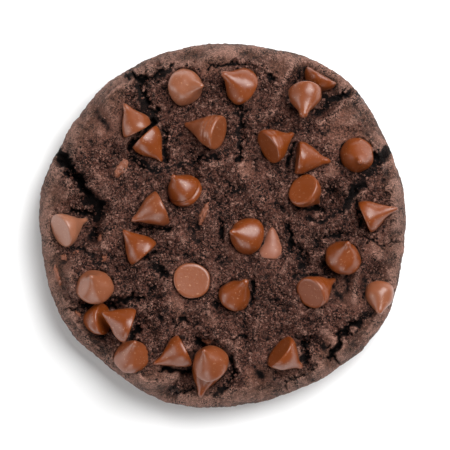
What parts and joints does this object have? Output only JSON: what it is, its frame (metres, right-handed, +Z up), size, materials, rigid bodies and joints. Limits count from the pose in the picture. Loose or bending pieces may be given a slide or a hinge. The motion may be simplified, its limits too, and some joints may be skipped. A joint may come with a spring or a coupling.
{
  "type": "chocolate chip cookie",
  "caption": "Thick round double chocolate cookie with a crackled crust and milk chocolate chips set in its top.",
  "frame": {"origin": "middle of the cookie's box, on its flat underside", "axes": "+Z up through the thickness, out of the side with the chips; +Y to the top of the reference view from above and +X to its right"},
  "size_m": [0.096, 0.0952, 0.0249],
  "materials": {
    "dough": "matte, crumbly baked cocoa dough",
    "chocolate": "smooth, waxy milk chocolate with a soft gloss"
  },
  "bodies": {
    "root": {"cookie": "dough", "chip_01": "chocolate", "chip_02": "chocolate", "chip_03": "chocolate", "chip_04": "chocolate", "chip_05": "chocolate", "chip_06": "chocolate", "chip_07": "chocolate", "chip_08": "chocolate", "chip_09": "chocolate", "chip_10": "chocolate", "chip_11": "chocolate", "chip_12": "chocolate", "chip_13": "chocolate", "chip_14": "chocolate", "chip_15": "chocolate", "chip_16": "chocolate", "chip_17": "chocolate", "chip_18": "chocolate", "chip_19": "chocolate", "chip_20": "chocolate", "chip_21": "chocolate", "chip_22": "chocolate", "chip_23": "chocolate", "chip_24": "chocolate", "chip_25": "chocolate", "chip_26": "chocolate", "chip_27": "chocolate", "chip_28": "chocolate", "chip_29": "chocolate", "chip_30": "chocolate", "chip_31": "chocolate"}
  },
  "joints": []
}
